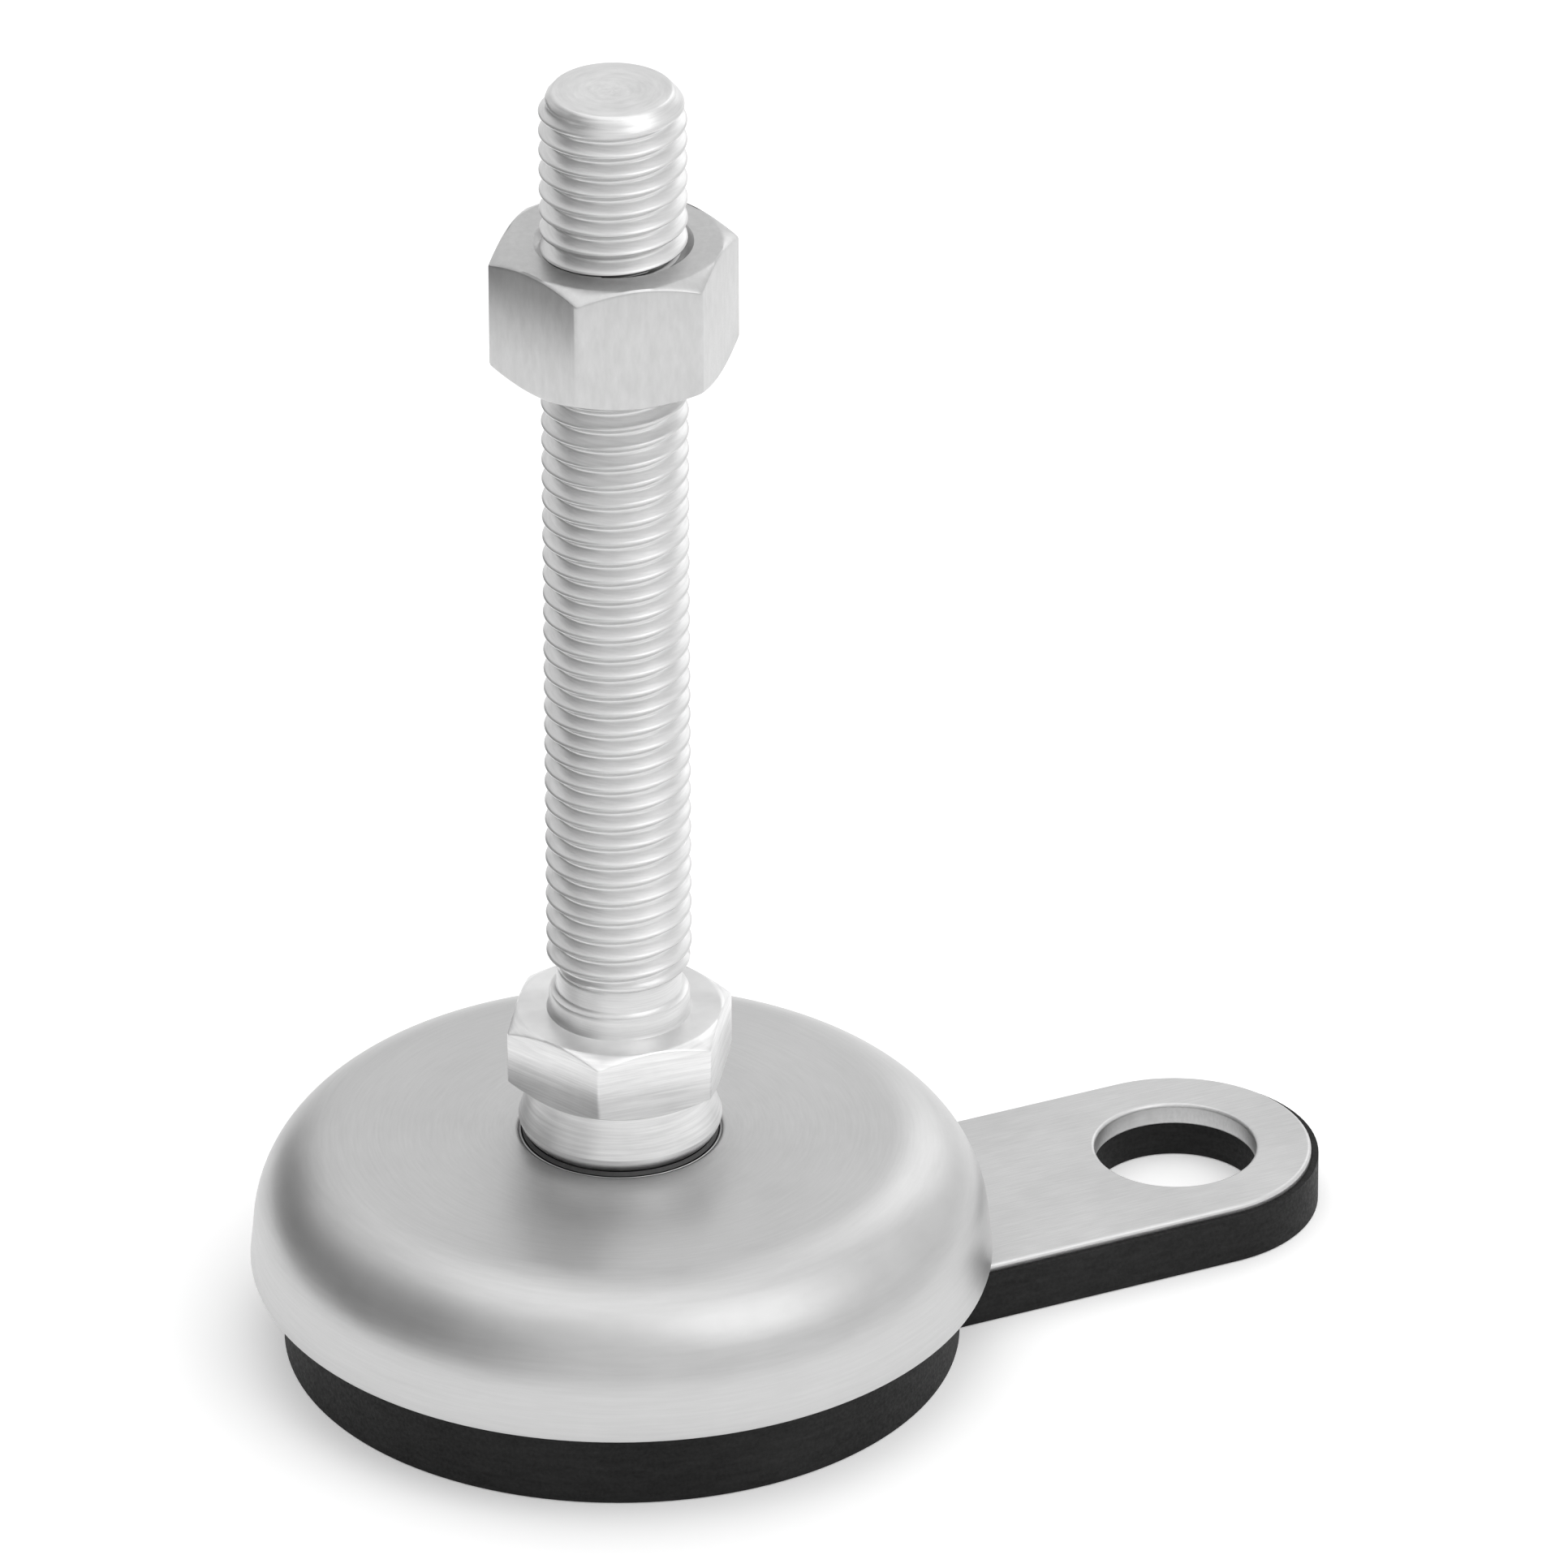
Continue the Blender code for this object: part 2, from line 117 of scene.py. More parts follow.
# ---------------------------------------------------------------- shapes


def arc(centre, radius, start, end, steps):
    return [
        (
            centre[0] + radius * math.cos(start + (end - start) * i / steps),
            centre[1] + radius * math.sin(start + (end - start) * i / steps),
        )
        for i in range(steps + 1)
    ]


def ball_arc(radius, r_from, r_to, steps=10):
    return arc((0, BALL_Z), radius, -math.acos(r_from / radius), -math.acos(r_to / radius), steps)


def add_lathe(bm, profile, angles, closed=True):
    """Turns a profile about Z through the given angles. A point is (radius, height), or a function
    that gives them from the angle."""
    rings = []
    for point in profile:
        ring = []
        for angle in angles:
            radius, height = point(angle) if callable(point) else point
            ring.append(bm.verts.new((radius * math.cos(angle), radius * math.sin(angle), height)))
        rings.append(ring)
    pairs = list(zip(rings, rings[1:]))
    if closed:
        pairs.append((rings[-1], rings[0]))
    count = len(angles)
    for lower, upper in pairs:
        for i in range(count):
            j = (i + 1) % count
            bm.faces.new([lower[i], lower[j], upper[j], upper[i]])
    return rings


def even_angles(steps):
    return [TAU * i / steps for i in range(steps)]


def finish_mesh(bm, name, body, node, finish, sharp=34):
    """Makes the piece that stands for a CAD node."""
    bmesh.ops.remove_doubles(bm, verts=bm.verts[:], dist=2e-7)
    bmesh.ops.recalc_face_normals(bm, faces=bm.faces[:])
    mesh = bpy.data.meshes.new(name)
    bm.to_mesh(mesh)
    bm.free()
    mesh.shade_smooth()
    mesh.set_sharp_from_angle(angle=math.radians(sharp))
    piece = bpy.data.objects.new(name, mesh)
    bpy.context.scene.collection.objects.link(piece)
    dress(piece, body, node, finish)


def dress(piece, body, node, finish):
    piece.data.materials.clear()
    piece.data.materials.append(finish)
    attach(piece, body)
    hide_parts(node)


def hex_radius(angle, flats, turn, corner):
    """Distance from the axis to a hexagon whose corners are rounded to the given radius."""
    half = flats / 2
    off = ((angle - turn) % (math.pi / 3)) - math.pi / 6
    tangent = math.atan2((half - corner) * math.tan(math.pi / 6), half)
    if abs(off) <= tangent:
        return half / math.cos(off)
    beside = math.pi / 6 - abs(off)
    centre = (half - corner) / math.cos(math.pi / 6)
    return centre * math.cos(beside) + math.sqrt(max(corner**2 - (centre * math.sin(beside)) ** 2, 0))


def hex_angles(turn):
    """Angles round a hexagon, packed closer at its corners."""
    half = [0, 0.25, 0.6, 1.0, 1.5, 2.2, 3.2, 4.8, 7, 10, 13.5, 17, 20.5, 24, 27]
    offsets = half + [30] + [60 - a for a in half[:0:-1]]
    return [turn + math.radians(60 * k + a) for k in range(6) for a in offsets]


def hex_sides(flats, turn, corner, bottom, top, face_bottom, face_top, edge):
    """Rings of a chamfered hexagon from its bottom face to its top face. face_bottom and face_top are
    the flat faces' radii, and edge is the edges' rounding."""
    slope = math.tan(math.radians(30))

    def ring(inset, lift, from_top):
        def at(angle):
            radius = hex_radius(angle, flats, turn, corner)
            face = face_top if from_top else face_bottom
            drop = max(0, radius - face) * slope
            height = top - drop - lift if from_top else bottom + drop + lift
            return radius - inset, height

        return at

    rings = [(face_bottom - edge, bottom), (face_bottom, bottom + edge * 0.12)]
    rings += [ring(edge, -edge * slope, False)]
    rings += [ring(edge * 0.3, edge * 0.1, False), ring(0, edge, False)]
    rings += [ring(0, edge, True), ring(edge * 0.3, edge * 0.1, True)]
    rings += [ring(edge, -edge * slope, True)]
    return rings + [(face_top, top - edge * 0.12), (face_top - edge, top)]


# One pitch of the rolled thread: phase along the pitch, height between root and crest
THREAD_FORM = (
    (0.0, 0.0),
    (0.07, 0.03),
    (0.13, 0.13),
    (0.26, 0.47),
    (0.39, 0.84),
    (0.44, 0.96),
    (0.5, 1.0),
    (0.56, 0.96),
    (0.61, 0.84),
    (0.74, 0.47),
    (0.87, 0.13),
    (0.93, 0.03),
)


def add_thread(bm, root_r, crest_r, start, bottom, top, steps, limit=None, fade_low=0.0, fade_high=0.0):
    """A helical surface between two heights. Points past an end are drawn to that end's ring. The
    thread rises out of the root over fade_low at the bottom, and sinks into limit, a function of
    the height, over fade_high at the top."""
    first = math.floor((bottom - start) / PITCH - 1.2) * steps
    last = math.ceil((top - start) / PITCH + 0.2) * steps

    def vertex(row, phase, form):
        angle = TAU * row / steps
        height = start + PITCH * (row / steps + phase)
        clamped = min(max(height, bottom), top)
        if clamped != height:
            form = 0.0
        if fade_low:
            form *= min(1, max(0, (clamped - bottom) / fade_low))
        radius = root_r + (crest_r - root_r) * form
        if limit is not None:
            envelope = limit(clamped)
            if fade_high:
                share = min(1, max(0, (top - clamped) / fade_high))
                share = share * share * (3 - 2 * share)
                radius = envelope + (radius - envelope) * share
            radius = min(radius, envelope)
        return bm.verts.new((radius * math.cos(angle), radius * math.sin(angle), clamped))

    count = len(THREAD_FORM)
    grid = []
    for row in range(first, last + steps + 1):
        grid.append([vertex(row, phase, form) for phase, form in THREAD_FORM])
    for i in range(last - first):
        for j in range(count):
            if j < count - 1:
                quad = [grid[i][j], grid[i + 1][j], grid[i + 1][j + 1], grid[i][j + 1]]
            else:
                quad = [grid[i][j], grid[i + 1][j], grid[i + 1 + steps][0], grid[i + steps][0]]
            heights = [v.co.z for v in quad]
            if max(heights) - min(heights) > 1e-9:
                bm.faces.new(quad)
    loose = [v for v in bm.verts if not v.link_faces]
    bmesh.ops.delete(bm, geom=loose, context="VERTS")


def fill_ring(bm, radius, height, angles):
    ring = [bm.verts.new((radius * math.cos(a), radius * math.sin(a), height)) for a in angles]
    bm.faces.new(ring)


# ---------------------------------------------------------------- materials


class Nodes:
    """Short helpers over one material's node tree."""

    def __init__(self, name):
        self.material = bpy.data.materials.new(name)
        self.material.use_nodes = True
        self.tree = self.material.node_tree
        self.shader = self.tree.nodes["Principled BSDF"]
        self.place = self.tree.nodes.new("ShaderNodeTexCoord").outputs["Object"]

    def node(self, kind, **settings):
        made = self.tree.nodes.new(kind)
        for key, value in settings.items():
            setattr(made, key, value)
        return made

    def link(self, source, target):
        self.tree.links.new(source, target)

    def scaled(self, x, y, z, source=None):
        """Coordinates multiplied per axis, in millimetres to noise cells."""
        mapping = self.node("ShaderNodeMapping")
        mapping.inputs["Scale"].default_value = (x * 1000, y * 1000, z * 1000)
        self.link(source or self.place, mapping.inputs["Vector"])
        return mapping.outputs["Vector"]

    def polar(self):
        """The radius, the unit vector from the axis, and the height, for marks round the axis."""
        split = self.node("ShaderNodeSeparateXYZ")
        self.link(self.place, split.inputs[0])
        flat = self.node("ShaderNodeCombineXYZ")
        self.link(split.outputs[0], flat.inputs[0])
        self.link(split.outputs[1], flat.inputs[1])
        length = self.node("ShaderNodeVectorMath", operation="LENGTH")
        self.link(flat.outputs[0], length.inputs[0])
        unit = self.node("ShaderNodeVectorMath", operation="NORMALIZE")
        self.link(flat.outputs[0], unit.inputs[0])
        return length.outputs["Value"], unit.outputs["Vector"], split.outputs[2]

    def noise(self, vector, detail, rough):
        made = self.node("ShaderNodeTexNoise")
        made.inputs["Scale"].default_value = 1.0
        made.inputs["Detail"].default_value = detail
        made.inputs["Roughness"].default_value = rough
        self.link(vector, made.inputs["Vector"])
        return made.outputs["Fac"]

    def range(self, value, low, high, from_low=0.3, from_high=0.7):
        made = self.node("ShaderNodeMapRange")
        made.inputs["From Min"].default_value = from_low
        made.inputs["From Max"].default_value = from_high
        made.inputs["To Min"].default_value = low
        made.inputs["To Max"].default_value = high
        self.link(value, made.inputs["Value"])
        return made.outputs["Result"]

    def maths(self, operation, a, b):
        made = self.node("ShaderNodeMath", operation=operation)
        for slot, value in enumerate((a, b)):
            if isinstance(value, (int, float)):
                made.inputs[slot].default_value = value
            else:
                self.link(value, made.inputs[slot])
        return made.outputs[0]

    def blend(self, factor, first, second):
        made = self.node("ShaderNodeMix", data_type="RGBA")
        self.link(factor, made.inputs["Factor"])
        made.inputs["A"].default_value = (*first, 1)
        made.inputs["B"].default_value = (*second, 1)
        return made.outputs["Result"]

    def bump(self, height, strength, distance, normal=None):
        made = self.node("ShaderNodeBump")
        made.inputs["Strength"].default_value = strength
        made.inputs["Distance"].default_value = distance
        self.link(height, made.inputs["Height"])
        if normal is not None:
            self.link(normal, made.inputs["Normal"])
        return made.outputs["Normal"]

    def wire(self, colour, roughness, normal):
        for socket, value in (("Base Color", colour), ("Roughness", roughness), ("Normal", normal)):
            self.link(value, self.shader.inputs[socket])


def spun_vector(n, radial, along, round_cells):
    """A vector that changes fast across turning marks and slowly along them."""
    radius, unit, height = n.polar()
    across = n.maths("MULTIPLY", radius, radial * 1000)
    mark = n.maths("ADD", across, n.maths("MULTIPLY", height, along * 1000))
    scaled = n.node("ShaderNodeVectorMath", operation="SCALE")
    scaled.inputs["Scale"].default_value = round_cells
    n.link(unit, scaled.inputs[0])
    shift = n.node("ShaderNodeCombineXYZ")
    n.link(mark, shift.inputs[2])
    total = n.node("ShaderNodeVectorMath", operation="ADD")
    n.link(scaled.outputs[0], total.inputs[0])
    n.link(shift.outputs[0], total.inputs[1])
    return total.outputs[0]


def steel(name, bright, dark, rough_low, rough_high, marks, mark_depth, anisotropy=0.0):
    """Stainless steel. marks makes the vector of its machining marks."""
    n = Nodes(name)
    n.shader.inputs["Metallic"].default_value = 1.0
    n.shader.inputs["Anisotropic"].default_value = anisotropy
    lines = n.noise(marks(n), 3.0, 0.6)
    clouds = n.noise(n.scaled(0.12, 0.12, 0.12), 4.0, 0.55)
    grain = n.noise(n.scaled(6, 6, 6), 2.0, 0.6)
    tone = n.maths("ADD", n.maths("MULTIPLY", lines, 0.55), n.maths("MULTIPLY", clouds, 0.45))
    colour = n.blend(n.range(tone, 0, 1, 0.36, 0.64), dark, bright)
    smudge = n.maths("ADD", n.maths("MULTIPLY", clouds, 0.6), n.maths("MULTIPLY", grain, 0.4))
    roughness = n.range(smudge, rough_low, rough_high, 0.35, 0.65)
    normal = n.bump(lines, 0.35, mark_depth)
    normal = n.bump(grain, 0.12, mark_depth, normal)
    n.wire(colour, roughness, normal)
    return n.material


def make_materials():
    made = {}
    made["thread"] = steel(
        "thread_steel", (0.79, 0.79, 0.79), (0.66, 0.66, 0.66), 0.33, 0.46,
        lambda n: spun_vector(n, 2.0, 9.0, 1.5), 0.01 * MM,
    )
    made["hex"] = steel(
        "hexagon_steel", (0.90, 0.90, 0.90), (0.68, 0.68, 0.68), 0.30, 0.42,
        lambda n: n.scaled(0.16, 0.16, 4.5), 0.015 * MM,
    )
    made["nut"] = steel(
        "nut_steel", (0.59, 0.59, 0.59), (0.52, 0.52, 0.52), 0.28, 0.42,
        lambda n: n.scaled(1.6, 1.6, 0.5), 0.004 * MM,
    )
    made["dome"] = steel(
        "dome_steel", (0.60, 0.60, 0.60), (0.55, 0.55, 0.55), 0.35, 0.44,
        lambda n: spun_vector(n, 5.0, 5.0, 5.0), 0.004 * MM, 0.25,
    )
    made["plate"] = steel(
        "plate_steel", (0.68, 0.68, 0.68), (0.58, 0.58, 0.58), 0.36, 0.48,
        lambda n: n.scaled(0.35, 7.0, 2.0), 0.006 * MM,
    )
    made["inner"] = steel(
        "inner_steel", (0.50, 0.50, 0.50), (0.40, 0.40, 0.40), 0.38, 0.52,
        lambda n: spun_vector(n, 3.0, 3.0, 2.0), 0.01 * MM,
    )
    made["rubber"] = rubber()
    made["nylon"] = nylon()
    return made


def rubber():
    n = Nodes("moulded_rubber")
    n.shader.inputs["Specular IOR Level"].default_value = 0.25
    grain = n.noise(n.scaled(3.2, 3.2, 3.2), 4.0, 0.62)
    scuff = n.noise(n.scaled(0.35, 0.35, 1.6), 3.0, 0.6)
    dust = n.noise(n.scaled(0.07, 0.07, 0.07), 3.0, 0.5)
    tone = n.maths("ADD", n.maths("MULTIPLY", scuff, 0.6), n.maths("MULTIPLY", dust, 0.4))
    colour = n.blend(n.range(tone, 0, 1, 0.38, 0.66), (0.004, 0.004, 0.004), (0.012, 0.012, 0.012))
    roughness = n.range(grain, 0.52, 0.78, 0.3, 0.7)
    normal = n.bump(grain, 0.4, 0.05 * MM)
    normal = n.bump(scuff, 0.3, 0.06 * MM, normal)
    n.wire(colour, roughness, normal)
    return n.material


def nylon():
    # Nylon of the seat liner in a near-black tone, which is partly painted shade: the dark ring stands
    # in for the contact shade under the stem's collar.
    n = Nodes("dark_nylon")
    grain = n.noise(n.scaled(1.5, 1.5, 1.5), 3.0, 0.5)
    n.wire(
        # near-black liner colour: nylon tone plus painted shade under the collar
        n.blend(n.range(grain, 0, 1), (0.035, 0.035, 0.035), (0.06, 0.06, 0.06)),
        n.range(grain, 0.4, 0.6),
        n.bump(grain, 0.2, 0.02 * MM),
    )
    return n.material


# ---------------------------------------------------------------- pieces


def make_stem(finish, hex_finish):
    angles = even_angles(STEM_STEPS)
    bm = bmesh.new()

    def tip(height):
        """Radius of the bar the thread was rolled on: straight, then a softly rounded chamfer."""
        below = STEM_TOP_Z - height
        if below > 1.9 * MM:
            return THREAD_R
        share = max(0, below / (1.9 * MM))
        return STEM_TIP_R + (THREAD_R - STEM_TIP_R) * math.sin(share * math.pi / 2) ** 0.8

    start = THREAD_Z + THREAD_PHASE
    add_thread(
        bm, THREAD_ROOT_R, THREAD_R, start, THREAD_Z, STEM_TOP_Z - 0.25 * MM, STEM_STEPS,
        limit=tip, fade_low=0.8 * MM, fade_high=1.5 * MM,
    )
    end_r = tip(STEM_TOP_Z - 0.25 * MM)
    top = [(end_r, STEM_TOP_Z - 0.25 * MM), (end_r - 0.12 * MM, STEM_TOP_Z - 0.07 * MM)]
    top += [(end_r - 0.35 * MM, STEM_TOP_Z), (end_r * 0.5, STEM_TOP_Z)]
    top += [(0.4 * MM, STEM_TOP_Z - 0.02 * MM)]
    add_lathe(bm, top, angles, closed=False)
    fill_ring(bm, 0.4 * MM, STEM_TOP_Z - 0.02 * MM, angles)
    neck = [(LAND_R - 0.6 * MM, HEX_Z[1] - 0.5 * MM), (LAND_R + 0.25 * MM, HEX_Z[1] - 0.05 * MM)]
    neck += [(LAND_R, HEX_Z[1] + 0.25 * MM), (LAND_R, LAND_TOP_Z - 0.4 * MM)]
    neck += [(LAND_R - 0.15 * MM, LAND_TOP_Z - 0.1 * MM), (NECK_R + 0.15 * MM, LAND_TOP_Z + 0.05 * MM)]
    neck += [(NECK_R, LAND_TOP_Z + 0.3 * MM), (NECK_R, THREAD_Z - 0.2 * MM), (THREAD_ROOT_R, THREAD_Z)]
    add_lathe(bm, neck, angles, closed=False)
    finish_mesh(bm, "stem_thread", "stem", "threaded_stem", finish, 40)

    bm = bmesh.new()
    hex_steps = hex_angles(HEX_TURN)
    rings = [(LAND_R - 1.0 * MM, HEX_Z[1] - 0.1 * MM), (LAND_R + 0.2 * MM, HEX_Z[1])]
    rings += hex_sides(
        HEX_FLATS, HEX_TURN, 0.3 * MM, *HEX_Z, HEX_FLATS / 2 * 0.97, HEX_FLATS / 2 * 0.985, 0.14 * MM
    )[::-1]
    rings += [(COLLAR_TOP_R + 0.25 * MM, HEX_Z[0] + 0.02 * MM), (COLLAR_TOP_R, HEX_Z[0] - 0.2 * MM)]
    rings += [(COLLAR_TOP_R + 0.1 * MM, HEX_Z[0] - 0.6 * MM), (COLLAR_R - 0.1 * MM, 21.1 * MM)]
    rings += [(COLLAR_R, 20.8 * MM), (COLLAR_R - 0.06 * MM, 20.45 * MM)]
    rings += [(COLLAR_R - 0.2 * MM, 20.1 * MM)]
    rings += [(COLLAR_R - 0.38 * MM, 19.8 * MM), (COLLAR_R - 0.64 * MM, 19.5 * MM)]
    rings += ball_arc(BALL_R, BALL_FACE_R, SPIGOT_R, 8)
    rings += [(SPIGOT_R, SPIGOT_Z + 0.3 * MM), (SPIGOT_R - 0.3 * MM, SPIGOT_Z)]
    rings += [(SCREW_HOLE_R, SPIGOT_Z), (SCREW_HOLE_R, SPIGOT_Z + SCREW_HOLE_DEPTH)]
    add_lathe(bm, rings, hex_steps, closed=False)
    name = "stem_hexagon_and_collar"
    finish_mesh(bm, name, "stem", "threaded_stem", hex_finish, 24)


def make_nut(finish):
    bm = bmesh.new()
    angles = hex_angles(NUT_TURN)
    face_r = NUT_FLATS / 2 * 0.98
    lip_r = NUT_MOUTH_R + 0.15 * MM
    rings = [(NUT_BORE_R, NUT_Z[0] + 0.9 * MM), (NUT_MOUTH_R, NUT_Z[0] + 0.12 * MM), (lip_r, NUT_Z[0])]
    rings += hex_sides(NUT_FLATS, NUT_TURN, 0.5 * MM, *NUT_Z, face_r, face_r, 0.22 * MM)
    rings += [(lip_r, NUT_Z[1]), (NUT_MOUTH_R, NUT_Z[1] - 0.12 * MM), (NUT_BORE_R, NUT_Z[1] - 0.9 * MM)]
    add_lathe(bm, rings, angles, closed=False)
    finish_mesh(bm, "lock_nut_body", "nut", "lock_nut", finish, 24)
    bm = bmesh.new()
    start = THREAD_Z + THREAD_PHASE
    add_thread(bm, *NUT_THREAD_R, start, NUT_Z[0] + 0.5 * MM, NUT_Z[1] - 0.5 * MM, 60)
    for face in bm.faces:
        face.normal_flip()
    mesh = bpy.data.meshes.new("lock_nut_thread")
    bmesh.ops.remove_doubles(bm, verts=bm.verts[:], dist=2e-7)
    bm.to_mesh(mesh)
    bm.free()
    mesh.shade_smooth()
    piece = bpy.data.objects.new("lock_nut_thread", mesh)
    bpy.context.scene.collection.objects.link(piece)
    dress(piece, "nut", "lock_nut", finish)


def shell_corner():
    side_len = math.hypot(1, SIDE_LEAN)
    cone_len = math.hypot(1, CROWN_LEAN)
    side = (1 / side_len, SIDE_LEAN / side_len)
    cone = (CROWN_LEAN / cone_len, 1 / cone_len)
    side_d = side[0] * RIM_R + side[1] * RIM_Z - SHOULDER_R
    cone_d = cone[0] * CROWN_R + cone[1] * CROWN_Z - SHOULDER_R
    det = side[0] * cone[1] - side[1] * cone[0]
    centre = ((side_d * cone[1] - cone_d * side[1]) / det, (side[0] * cone_d - cone[0] * side_d) / det)
    return centre, math.atan2(side[1], side[0]), math.atan2(cone[1], cone[0])


def make_cap(finish):
    centre, low, high = shell_corner()
    edge = RIM_EDGE
    outside = [(RIM_R - edge, RIM_Z), (RIM_R - edge * 0.3, RIM_Z + edge * 0.1), (RIM_R, RIM_Z + edge)]
    outside += [(RIM_R - 0.086 * (2 * MM), RIM_Z + 2 * MM)]
    outside += arc(centre, SHOULDER_R, low, high, 28)
    mouth_centre = (CROWN_R + 0.3 * MM, CROWN_Z - 0.52 * MM)
    outside += arc(mouth_centre, 0.5 * MM, math.radians(88), math.radians(150), 5)
    outside += ball_arc(DISH_R, CROWN_R - 0.2 * MM, CROWN_HOLE_R, 8)
    under = ball_arc(DISH_R + SHEET, CROWN_HOLE_R, CROWN_R + UNDER_DISH_EXTRA, 8)
    inside = arc(centre, SHOULDER_R - SHEET, high, low, 20)
    bm = bmesh.new()
    profile = outside + under + inside + [(RIM_R - SHEET, RIM_Z + edge), (RIM_R - SHEET + edge, RIM_Z)]
    add_lathe(bm, profile, even_angles(ROUND_STEPS))
    finish_mesh(bm, "cap_shell", "foot", "foot_cap", finish, 30)


def lug_outline(disc_r, half_width, end_x=LUG_X, disc_steps=150, end_steps=48):
    root = math.asin(half_width / disc_r)
    disc = arc((0, 0), disc_r, root, TAU - root, disc_steps)
    end = arc((end_x, 0), half_width, -math.pi / 2, math.pi / 2, end_steps)
    return disc + end


def prism(name, outline, bottom, top):
    bm = bmesh.new()
    face = bm.faces.new([bm.verts.new((x, y, bottom)) for x, y in outline])
    raised = bmesh.ops.extrude_face_region(bm, geom=[face])["geom"]
    moved = [item for item in raised if isinstance(item, bmesh.types.BMVert)]
    bmesh.ops.translate(bm, verts=moved, vec=(0, 0, top - bottom))
    return helper(bm, name)


def helper(bm, name, x=0.0):
    bmesh.ops.recalc_face_normals(bm, faces=bm.faces[:])
    bmesh.ops.translate(bm, verts=bm.verts[:], vec=(x, 0, 0))
    mesh = bpy.data.meshes.new(name)
    bm.to_mesh(mesh)
    bm.free()
    made = bpy.data.objects.new(name, mesh)
    bpy.context.scene.collection.objects.link(made)
    return made


def drum(name, radius, bottom, top, steps=96, x=0.0, inner=0.0):
    bm = bmesh.new()
    angles = even_angles(steps)
    if inner:
        add_lathe(bm, [(inner, bottom), (radius, bottom), (radius, top), (inner, top)], angles)
    else:
        rings = add_lathe(bm, [(radius, bottom), (radius, top)], angles, closed=False)
        bm.faces.new(rings[0])
        bm.faces.new(rings[1])
    return helper(bm, name, x)


def carved(base, steps, bevel, segments, angle=30):
    """base after its Booleans and an even rounding of its edges; the helpers are removed."""
    for kind, other in steps:
        boolean = base.modifiers.new(kind, "BOOLEAN")
        boolean.operation = kind
        boolean.solver = "EXACT"
        boolean.object = other
    rounding = base.modifiers.new("edges", "BEVEL")
    rounding.width = bevel
    rounding.segments = segments
    rounding.limit_method = "ANGLE"
    rounding.angle_limit = math.radians(angle)
    rounding.use_clamp_overlap = True
    bpy.context.view_layer.update()
    graph = bpy.context.evaluated_depsgraph_get()
    mesh = bpy.data.meshes.new_from_object(base.evaluated_get(graph))
    base.modifiers.clear()
    base.data = mesh
    for _, other in steps:
        bpy.data.objects.remove(other)
    mesh.shade_smooth()
    mesh.set_sharp_from_angle(angle=math.radians(50))
    keep_flats = base.modifiers.new("flat_faces", "WEIGHTED_NORMAL")
    keep_flats.keep_sharp = True
    keep_flats.weight = 80
    return base


def make_plate(finish):
    plate = prism("lug_plate_body", lug_outline(PLATE_R, LUG_HALF_WIDTH), *PLATE_Z)
    steps = [
        ("DIFFERENCE", drum("bolt_hole", LUG_HOLE_R, 0, CLEAR_Z, 96, LUG_X)),
        ("DIFFERENCE", drum("access_hole", ACCESS_R, 0, CLEAR_Z, 96)),
    ]
    plate = carved(plate, steps, PLATE_BEVEL, 4)
    dress(plate, "foot", "lug_plate", finish)


def make_pad(finish):
    pad = drum("rubber_pad_body", PAD_R, 0, PAD_WALL_TOP_Z, 150)
    lug = lug_outline(PAD_R - 2 * MM, PAD_LUG_HALF_WIDTH)
    pocket = lug_outline(PLATE_R + 0.1 * MM, LUG_HALF_WIDTH + 0.05 * MM)
    steps = [
        ("UNION", prism("pad_lug", lug, 0, PAD_LIP_TOP_Z)),
        ("DIFFERENCE", prism("pad_pocket", pocket, POCKET_Z, CLEAR_Z)),
        ("DIFFERENCE", drum("pad_hole", PAD_HOLE_R, -MM, CLEAR_Z, 96, LUG_X)),
    ]
    for k, radius in enumerate(GROOVES_R):
        inner = radius - GROOVE_HALF_WIDTH
        outer = radius + GROOVE_HALF_WIDTH
        groove = drum(f"pad_groove_{k}", outer, -MM, GROOVE_DEPTH, 96, 0, inner)
        steps.append(("DIFFERENCE", groove))
    pad = carved(pad, steps, PAD_BEVEL, 3, 40)
    dress(pad, "foot", "rubber_pad", finish)


def make_liner(finish):
    bm = bmesh.new()
    outer = ball_arc(BALL_R + RUNNING_GAP + LINER_THICKNESS, LINER_BORE_R, LINER_RIM_R, 8)
    inner = ball_arc(BALL_R + RUNNING_GAP, LINER_RIM_R - 0.2 * MM, LINER_BORE_R, 8)
    add_lathe(bm, outer + inner, even_angles(96))
    finish_mesh(bm, "seat_liner_ring", "seat", "seat_liner", finish)


# ---------------------------------------------------------------- studio


def make_floor():
    bm = bmesh.new()
    bmesh.ops.create_grid(bm, x_segments=2, y_segments=2, size=3.0)
    floor = helper(bm, "studio_floor")
    floor.location.z = -0.0001
    n = Nodes("pale_floor")
    n.shader.inputs["Base Color"].default_value = (0.93, 0.93, 0.93, 1)
    n.shader.inputs["Roughness"].default_value = 0.9
    n.shader.inputs["Specular IOR Level"].default_value = 0.1
    n.shader.inputs["Emission Color"].default_value = (1, 1, 1, 1)
    n.shader.inputs["Emission Strength"].default_value = 0.24
    floor.data.materials.append(n.material)


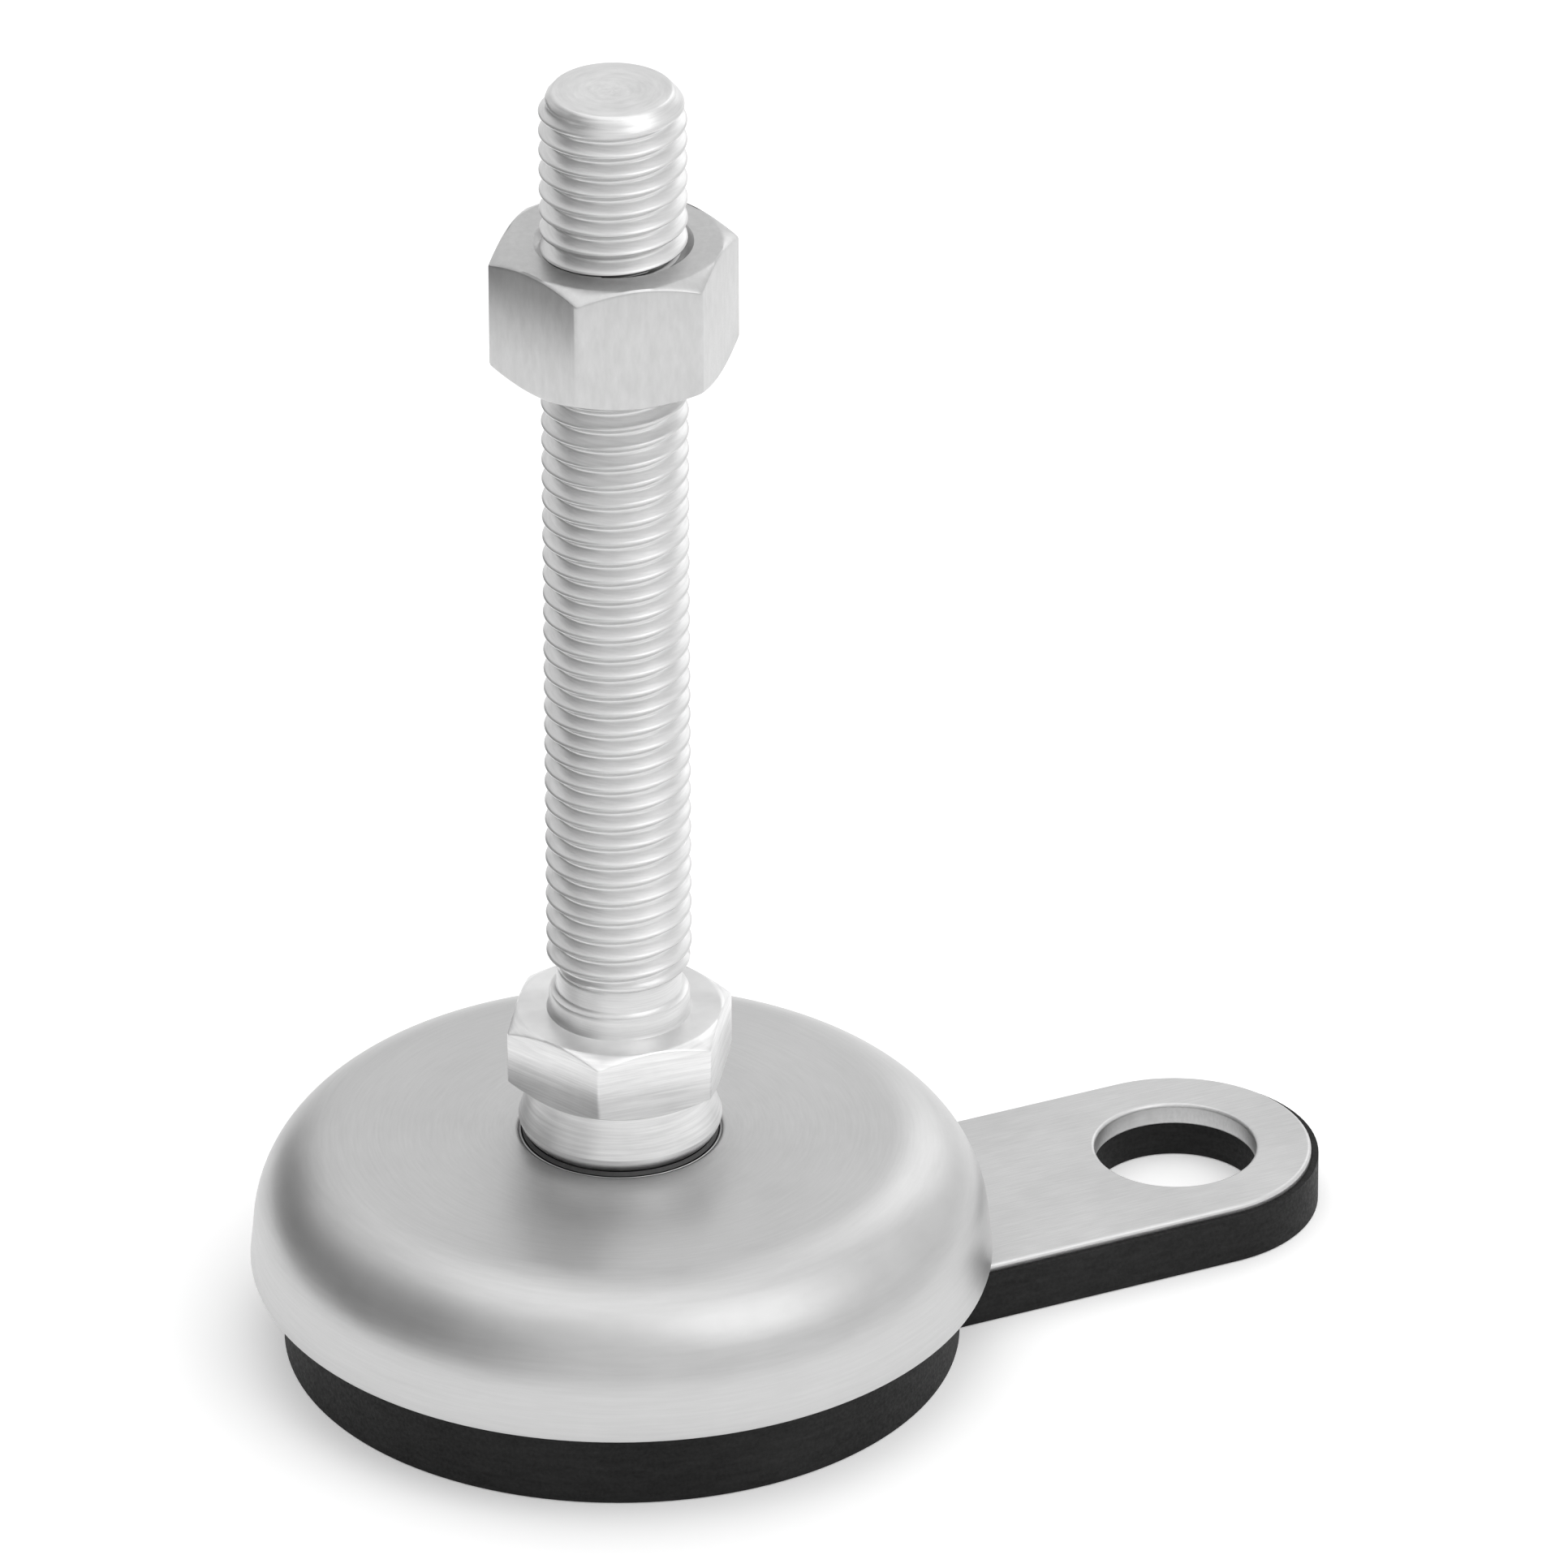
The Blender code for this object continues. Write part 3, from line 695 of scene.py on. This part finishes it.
def make_flag(name, start, end, distance, low, high, level):
    """A curved grey card that only reflections see. Angles are about Z in degrees."""
    bm = bmesh.new()
    steps = 24
    rails = []
    for height in (low, high):
        row = []
        for i in range(steps + 1):
            turn = math.radians(start + (end - start) * i / steps)
            row.append(bm.verts.new((distance * math.cos(turn), distance * math.sin(turn), height)))
        rails.append(row)
    for i in range(steps):
        bm.faces.new([rails[0][i], rails[0][i + 1], rails[1][i + 1], rails[1][i]])
    card = helper(bm, name)
    n = Nodes(name)
    n.shader.inputs["Base Color"].default_value = (level, level, level, 1)
    n.shader.inputs["Roughness"].default_value = 1.0
    card.data.materials.append(n.material)
    card.visible_camera = False
    card.visible_diffuse = False
    card.visible_shadow = False


def area(name, place, target, size, power):
    light = bpy.data.lights.new(name, "AREA")
    light.shape = "RECTANGLE"
    light.size, light.size_y = size
    light.energy = power
    made = bpy.data.objects.new(name, light)
    made.location = place
    made.rotation_euler = (Vector(target) - Vector(place)).to_track_quat("-Z", "Y").to_euler()
    bpy.context.scene.collection.objects.link(made)


def make_world():
    world = bpy.data.worlds.new("studio")
    bpy.context.scene.world = world
    world.use_nodes = True
    tree = world.node_tree
    background = tree.nodes["Background"]
    coord = tree.nodes.new("ShaderNodeTexCoord")
    split = tree.nodes.new("ShaderNodeSeparateXYZ")
    tree.links.new(coord.outputs["Generated"], split.inputs[0])
    ramp = tree.nodes.new("ShaderNodeValToRGB")
    ramp.color_ramp.interpolation = "EASE"
    stops = ((0.0, 0.7), (0.45, 0.85), (0.62, 0.97), (1.0, 1.03))
    for k, (position, level) in enumerate(stops):
        element = ramp.color_ramp.elements[k] if k < 2 else ramp.color_ramp.elements.new(position)
        element.position = position
        element.color = (level, level, level, 1)
    lift = tree.nodes.new("ShaderNodeMapRange")
    lift.inputs["From Min"].default_value = -1
    tree.links.new(split.outputs[2], lift.inputs["Value"])
    tree.links.new(lift.outputs["Result"], ramp.inputs["Fac"])
    # The sky is darker round -X, as beside a broad flag.
    side = tree.nodes.new("ShaderNodeVectorMath")
    side.operation = "DOT_PRODUCT"
    side.inputs[1].default_value = (-0.97, 0.16, 0.18)
    tree.links.new(coord.outputs["Generated"], side.inputs[0])
    flag = tree.nodes.new("ShaderNodeMapRange")
    flag.interpolation_type = "SMOOTHSTEP"
    flag.inputs["From Min"].default_value = 0.55
    flag.inputs["From Max"].default_value = 0.92
    flag.inputs["To Min"].default_value = 1.0
    flag.inputs["To Max"].default_value = 0.35
    tree.links.new(side.outputs["Value"], flag.inputs["Value"])
    scale = tree.nodes.new("ShaderNodeVectorMath")
    scale.operation = "SCALE"
    tree.links.new(ramp.outputs["Color"], scale.inputs[0])
    tree.links.new(flag.outputs["Result"], scale.inputs["Scale"])
    tree.links.new(scale.outputs["Vector"], background.inputs["Color"])
    background.inputs["Strength"].default_value = 0.90


def make_camera():
    elevation = math.radians(29.1)
    azimuth = math.radians(-24.2)
    forward = Vector(
        (
            -math.sin(azimuth) * math.cos(elevation),
            math.cos(azimuth) * math.cos(elevation),
            -math.sin(elevation),
        )
    )
    right = Vector((math.cos(azimuth), math.sin(azimuth), 0))
    up = right.cross(forward)
    camera = bpy.data.cameras.new("camera")
    camera.sensor_width = 36
    camera.lens = 411
    camera.shift_x = 0.106
    camera.clip_start = 0.05
    camera.clip_end = 20
    made = bpy.data.objects.new("camera", camera)
    bpy.context.scene.collection.objects.link(made)
    made.location = up * (45.04 * MM) - forward * 1.485
    upright = forward.to_track_quat("-Z", "Y")
    made.rotation_euler = (upright @ Quaternion((0, 0, 1), math.radians(-0.45))).to_euler()
    bpy.context.scene.camera = made


def main():
    finishes = make_materials()
    make_camera()
    make_stem(finishes["thread"], finishes["hex"])
    make_nut(finishes["nut"])
    make_cap(finishes["dome"])
    make_plate(finishes["plate"])
    make_pad(finishes["rubber"])
    make_liner(finishes["nylon"])
    for name in ("mounting_ring", "swivel_washer", "disc_spring", "retaining_screw"):
        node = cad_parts[name]
        node.data.materials.clear()
        node.data.materials.append(finishes["inner"])
    make_floor()
    make_world()
    make_flag("left_flag", start=98, end=172, distance=0.22, low=0.0, high=0.11, level=0.18)
    area("key", (0.35, -0.6, 0.9), (0, 0, 0.03), (0.7, 0.7), 1.6)
    area("top", (-0.1, 0.1, 1.1), (0, 0, 0.05), (0.9, 0.9), 1.2)
    area("rim", (0.8, 0.55, 0.55), (0, 0, 0.06), (0.4, 0.8), 0.8)
    bpy.context.scene.view_settings.view_transform = "Standard"


main()
